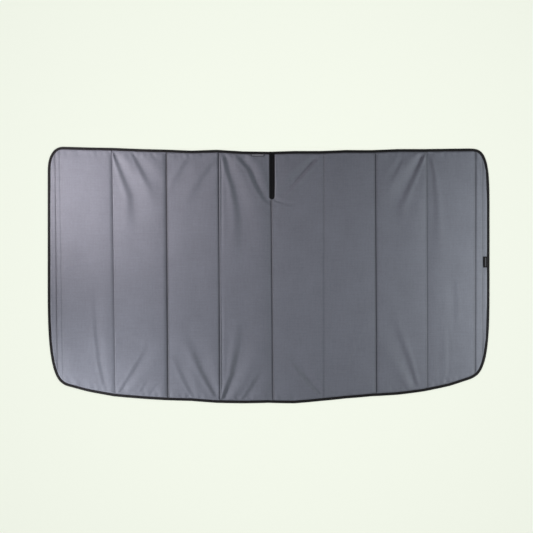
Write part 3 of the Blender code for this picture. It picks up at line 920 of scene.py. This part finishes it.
# %% Cloudiness: slow changes of shade, as handling and the weave's tension leave
cloudy, given, result = group(
    "cloudiness",
    [
        ("Place", "NodeSocketVector", None),
        ("Colour", "NodeSocketColor", (0.5, 0.5, 0.5, 1)),
        ("Amount", "NodeSocketFloat", 0.08),
    ],
    [("Colour", "NodeSocketColor")],
)
SLUB = 0.8
slow = noise(cloudy, given["Place"], 9.0, 3.0)["Fac"]
quick = noise(cloudy, given["Place"], 130.0, 2.0)["Fac"]
mixed = maths(cloudy, "ADD", slow, quick)
for stretch in ((0.05, 1, 1), (1, 0.05, 1)):
    along = vectors(cloudy, "MULTIPLY", A=given["Place"], B=stretch)
    slub = maths(cloudy, "SUBTRACT", noise(cloudy, along, 260.0, 1.0)["Fac"], 0.5)
    mixed = maths(cloudy, "MULTIPLY_ADD", slub, SLUB, mixed)
swing = maths(cloudy, "MULTIPLY", maths(cloudy, "SUBTRACT", mixed, 1.0), given["Amount"])
level = maths(cloudy, "MULTIPLY_ADD", swing, 2.0, 1.0)
cloudy.links.new(vectors(cloudy, "SCALE", A=given["Colour"], Scale=level), result["Colour"])
print("group:", cloudy.name, len(cloudy.nodes), "nodes")

# %% [markdown]
# ## Cloth, tape, thread and foam
# The face is a satin-like grey cloth with a soft sheen, the tapes are matt and nearly black, and the
# foam is pale. One material with many inputs could serve them all. Two short functions, one for
# woven pieces and one for the rest, keep each piece's colour and roughness in one line.

# %% Materials of the pieces
BUMP = 0.6
PALE_SHINE, DARK_SHINE, DARK = 0.3, 0.12, 0.05
SHEEN_ROUGHNESS = 0.45


def new_material(name, colour, roughness):
    """A material with its colour, and its node tree and shader."""
    made = bpy.data.materials.new(name)
    made.use_nodes = True
    made.diffuse_color = (*colour, 1)
    shader = made.node_tree.nodes["Principled BSDF"]
    shader.inputs["Roughness"].default_value = roughness
    return made, made.node_tree, shader


def cloth(name, colour, threads, roughness, sheen, cloud, bump):
    """A woven material on the piece's own flat place."""
    made, tree, shader = new_material(name, colour, roughness)
    place = add(tree, "ShaderNodeUVMap", {}, uv_map="cloth").outputs["UV"]
    woven = add(tree, "ShaderNodeGroup", {}, node_tree=weave)
    tree.links.new(place, woven.inputs["Place"])
    woven.inputs["Threads per metre"].default_value = threads
    clouds = add(tree, "ShaderNodeGroup", {}, node_tree=cloudy)
    tree.links.new(place, clouds.inputs["Place"])
    clouds.inputs["Colour"].default_value = (*colour, 1)
    clouds.inputs["Amount"].default_value = cloud
    feeds = {"Height": woven.outputs["Height"], "Distance": bump, "Strength": BUMP}
    tree.links.new(add(tree, "ShaderNodeBump", feeds).outputs[0], shader.inputs["Normal"])
    tree.links.new(clouds.outputs["Colour"], shader.inputs["Base Color"])
    shine = PALE_SHINE if colour[1] > DARK else DARK_SHINE
    shader.inputs["Specular IOR Level"].default_value = shine
    shader.inputs["Sheen Weight"].default_value = sheen
    shader.inputs["Sheen Roughness"].default_value = SHEEN_ROUGHNESS
    return made


def plain(name, colour, roughness, cell, bump):
    """A material with fine bumps of one size, for thread and foam."""
    made, tree, shader = new_material(name, colour, roughness)
    place = add(tree, "ShaderNodeTexCoord", {}).outputs["Object"]
    cells = add(tree, "ShaderNodeTexVoronoi", {"Vector": place, "Scale": 1 / cell})
    feeds = {"Height": cells.outputs["Distance"], "Distance": bump, "Strength": BUMP}
    tree.links.new(add(tree, "ShaderNodeBump", feeds).outputs[0], shader.inputs["Normal"])
    shader.inputs["Base Color"].default_value = (*colour, 1)
    return made


# %% The colours: name, colour, threads per metre, roughness, sheen, cloudiness, bump in metres
GREY = (0.146, 0.152, 0.186)
PALE_GREY = (0.290, 0.292, 0.335)
DARK_GREY = (0.070, 0.072, 0.078)
face_cloth = cloth("face_fabric_woven", GREY, 1700, 0.60, 0.10, 0.10, 0.00012)
tab_cloth = cloth("tab_fabric_woven", PALE_GREY, 2600, 0.60, 0.10, 0.06, 0.00008)
lining_cloth = cloth("lining_fabric_woven", DARK_GREY, 1500, 0.85, 0.05, 0.12, 0.00012)
tape_cloth = cloth("binding_tape_ribbed", (0.012, 0.011, 0.012), 1000, 0.75, 0.02, 0.20, 0.00030)
slit_cloth = cloth("slit_tape_ribbed", (0.0055, 0.0055, 0.0070), 1000, 0.80, 0.0, 0.20, 0.00030)
tag_cloth = cloth("tag_weave_black", (0.007, 0.007, 0.008), 2600, 0.75, 0.0, 0.10, 0.00010)
foam = plain("padding_foam_cells", (0.72, 0.72, 0.70), 0.85, 0.0012, 0.0002)
dark_thread = plain("thread_black", (0.015, 0.014, 0.015), 0.65, 0.0004, 0.00005)
grey_thread = plain("thread_grey", (0.105, 0.108, 0.132), 0.60, 0.0004, 0.00005)
print("materials:", len(bpy.data.materials))

# %% [markdown]
# ## Painted shade in the seams
# On the real cover hardly any light reaches the bottom of a seam, because the flanks nearly touch.
# The grooves here are wider than that, so the painted shade that each point of the face carries
# takes the rest of the light off its colour.

# %% Painted shade of the face's seams
tree = face_cloth.node_tree
base = tree.nodes["Principled BSDF"].inputs["Base Color"]
painted_shade_in_seam = add(tree, "ShaderNodeAttribute", {}, attribute_name="painted_seam_shade").outputs["Fac"]
left_over = maths(tree, "SUBTRACT", 1.0, painted_shade_in_seam)
shaded = vectors(tree, "SCALE", A=base.links[0].from_socket, Scale=left_over)
tree.links.new(shaded, base)

# %% [markdown]
# ## Second colours on the tag and the tab
# The tag has a paler woven band along it. The tab has a dark border, partly overlocked thread on
# its cut edges and partly painted shadow, widest along its lower edge.
# Both could be strips of their own, but neither has any thickness to speak of, so each is a second
# colour that is mixed in by the place on the flat cloth.


# %% Mix a second colour in by a mask
def flat_place(tree):
    """X and Y on the flat cloth, in metres from its corner."""
    place = add(tree, "ShaderNodeUVMap", {}, uv_map="cloth").outputs["UV"]
    return add(tree, "ShaderNodeSeparateXYZ", {0: place}).outputs


def off_middle(tree, value, middle):
    """How far a value is from a middle."""
    return maths(tree, "ABSOLUTE", maths(tree, "SUBTRACT", value, middle))


def second_colour(tree, mask, colour):
    """Mix a second colour into a cloth where the mask is 1."""
    base = tree.nodes["Principled BSDF"].inputs["Base Color"]
    feeds = {0: mask, 6: base.links[0].from_socket, 7: (*colour, 1)}
    mix = add(tree, "ShaderNodeMix", feeds, data_type="RGBA")
    tree.links.new(mix.outputs[2], base)


# %% Band of the tag, and border of the tab: overlocked hem with painted shadow
BAND_MIDDLE, BAND_HALF, BAND_REACH = 0.0086, 0.0017, 0.0165
HEM_AND_SHADOW_BORDER = 0.0022
SHADOW_BORDER_BELOW = 0.75
tree = tag_cloth.node_tree
flat = flat_place(tree)
across_band = maths(tree, "LESS_THAN", off_middle(tree, flat["X"], BAND_MIDDLE), BAND_HALF)
along_band = maths(tree, "LESS_THAN", off_middle(tree, flat["Y"], TAG_HALF), BAND_REACH)
second_colour(tree, maths(tree, "MULTIPLY", across_band, along_band), (0.07, 0.07, 0.08))

tree = tab_cloth.node_tree
flat = flat_place(tree)
tab_low, tab_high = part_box("top_tab")
tab_middle = (tab_high[0] - tab_low[0]) / 2
from_end = maths(tree, "SUBTRACT", tab_middle, off_middle(tree, flat["X"], tab_middle))
# The tab's dark border is its overlocked hem with painted shadow, wider along the lower edge.
near_edge = maths(tree, "MINIMUM", from_end, maths(tree, "MULTIPLY", flat["Y"], SHADOW_BORDER_BELOW))
second_colour(tree, maths(tree, "LESS_THAN", near_edge, HEM_AND_SHADOW_BORDER), (0.030, 0.030, 0.034))
print(f"tab {tab_middle * 2000:.0f} mm wide, its border {HEM_AND_SHADOW_BORDER * 1000:.1f} mm")

# %% [markdown]
# ## What each piece is
# The frame keeps its solids for contact, and each soft piece stands for one of them.


# %% Dress the pieces
def finish_piece(piece, material, slot, *nodes):
    """Give a piece its material, its place on the frame and the solids it stands for. The slot is
    not used.
    """
    piece.data.materials.append(material)
    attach(piece, "root")
    if nodes:
        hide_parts(*nodes)


finish_piece(face, face_cloth, "face_fabric", "face_cloth")
finish_piece(lining, lining_cloth, "lining_fabric", "lining_cloth")
finish_piece(binding, tape_cloth, "binding_tape", "edge_binding")
finish_piece(slit_tape, slit_cloth, "binding_tape", "slit_binding")
finish_piece(tag, tag_cloth, "tag_weave", "side_tag")
finish_piece(tab, tab_cloth, "tab_fabric", "top_tab")
finish_piece(edge_stitches, dark_thread, "binding_tape")
finish_piece(slit_stitches, dark_thread, "binding_tape")
finish_piece(seam_stitches, grey_thread, "face_fabric")
for node, board in boards.items():
    finish_piece(board, foam, "padding_foam", node)

# %% [markdown]
# ## The floor
# The photo's ground is one pale tone without a horizon. A backdrop with a bend would do as well, but
# the cover lies flat and is seen from above, so a wide matt floor just below it is enough.

# %% Floor
FLOOR_HALF = 12
UNDER_COVER = 0.0003
stage = bpy.data.collections.new("stage")
bpy.context.scene.collection.children.link(stage)
mesh = bpy.data.meshes.new("floor")
floor_corners = [(-1, -1), (1, -1), (1, 1), (-1, 1)]
mesh.from_pydata([(FLOOR_HALF * x, FLOOR_HALF * y, 0) for x, y in floor_corners], [], [(0, 1, 2, 3)])
floor = bpy.data.objects.new("floor", mesh)
floor.location.z = -UNDER_COVER
stage.objects.link(floor)
pale = bpy.data.materials.new("floor_pale")
pale.use_nodes = True
shader = pale.node_tree.nodes["Principled BSDF"]
shader.inputs["Base Color"].default_value = (0.900, 0.935, 0.820, 1)
shader.inputs["Roughness"].default_value = 0.9
shader.inputs["Specular IOR Level"].default_value = 0.0
mesh.materials.append(pale)
print("floor:", floor.name)

# %% [markdown]
# ## The light
# Soft light from low at both sides shows every wrinkle, but it would grade the floor, whose tone is
# level in the photo. So two lamps at the left and one at the right light the cover alone, and a
# wide lamp far above lights the floor alone. The world fills the shadows of both.


# %% Lamps
def lamp(name, place, aim, size, power, colour=(1, 1, 1), spread=180, only=None):
    """A soft square lamp turned to a point, its beam spread in degrees, for one collection."""
    light = bpy.data.lights.new(name, "AREA")
    light.shape = "RECTANGLE"
    light.size, light.size_y = size
    light.energy = power
    light.color = colour
    light.spread = math.radians(spread)
    made = bpy.data.objects.new(name, light)
    bpy.context.scene.collection.objects.link(made)
    made.location = place
    heading = np.array(aim, float) - np.array(place, float)
    tilt = math.atan2(math.hypot(heading[0], heading[1]), -heading[2])
    made.rotation_euler = (tilt, 0, math.atan2(heading[1], heading[0]) - math.pi / 2)
    made.visible_camera = False
    made.light_linking.receiver_collection = only
    print(f"lamp {name}: {power} W")


WARM, NEUTRAL, COOL = (1.07, 1.0, 0.99), (1.01, 1.01, 1.01), (0.96, 1.0, 0.96)
UPPER_LEFT, UPPER_AIM = (-1.27, 0.34, 0.62), (-0.56, 0.35, 0)
LOWER_LEFT, LOWER_AIM = (-1.38, -0.64, 0.67), (-0.54, -0.59, 0)
RIGHT, RIGHT_AIM = (1.73, -0.10, 0.79), (1.12, -0.02, 0)
lamp("over_floor", (0, 0.1, 3.9), (0, 0, 0), (6.5, 6.5), 236, only=stage)
lamp("upper_left", UPPER_LEFT, UPPER_AIM, (0.6, 0.4), 3.3, WARM, 64, only=cover)
lamp("lower_left", LOWER_LEFT, LOWER_AIM, (0.6, 0.4), 4.7, NEUTRAL, 70, only=cover)
lamp("right", RIGHT, RIGHT_AIM, (0.9, 0.4), 17.8, COOL, 148, only=cover)

# %% World
world = bpy.data.worlds.new("even_light")
bpy.context.scene.world = world
world.use_nodes = True
world.node_tree.nodes["Background"].inputs["Color"].default_value = (0.96, 1, 1.04, 1)
world.node_tree.nodes["Background"].inputs["Strength"].default_value = 0.20
print("world:", world.name)

# %% [markdown]
# ## The camera
# The photo shows the cover square-on. A camera without perspective would do for so flat a thing, but
# a long lens straight above sees it as a photographer would.

# %% Camera, straight above
LENS, SENSOR = 85, 36
SEEN_WIDTH = 2.050
camera = bpy.data.objects.new("camera", bpy.data.cameras.new("camera"))
bpy.context.scene.collection.objects.link(camera)
camera.data.lens = LENS
camera.data.sensor_width = SENSOR
camera.location = (-0.0082, 0.0329, SEEN_WIDTH * LENS / SENSOR + 0.004)
bpy.context.scene.camera = camera
bpy.context.scene.view_settings.view_transform = "Standard"
print(f"camera {camera.location.z:.2f} m above the floor")
